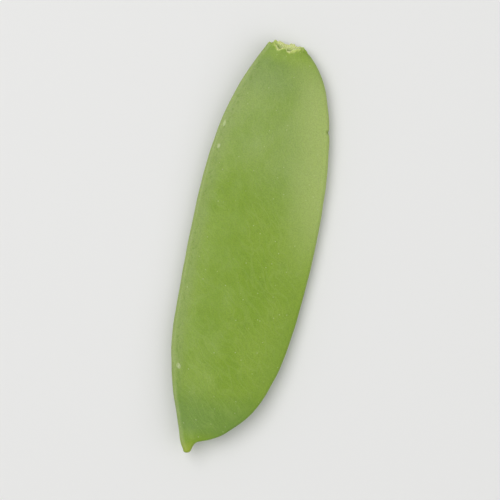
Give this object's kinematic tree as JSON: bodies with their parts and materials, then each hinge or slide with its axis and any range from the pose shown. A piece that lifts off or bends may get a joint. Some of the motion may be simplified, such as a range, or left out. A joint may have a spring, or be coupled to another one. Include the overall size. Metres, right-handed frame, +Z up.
{
  "type": "snow pea pod",
  "caption": "Flat green mangetout pod, trimmed at the stem end, with a ribbed ventral suture, faint seed swellings and a small pointed tip, lying on one valve.",
  "frame": {"origin": "bottom centre of the pod's bounding box, on the surface that it lies on", "axes": "+X from the trimmed stem end to the tip, +Y from the ventral suture to the dorsal edge, +Z up from the surface"},
  "size_m": [0.087, 0.0262, 0.0058],
  "materials": {
    "pod_skin": "satin"
  },
  "bodies": {
    "root": {"pod": "pod_skin"}
  },
  "joints": []
}
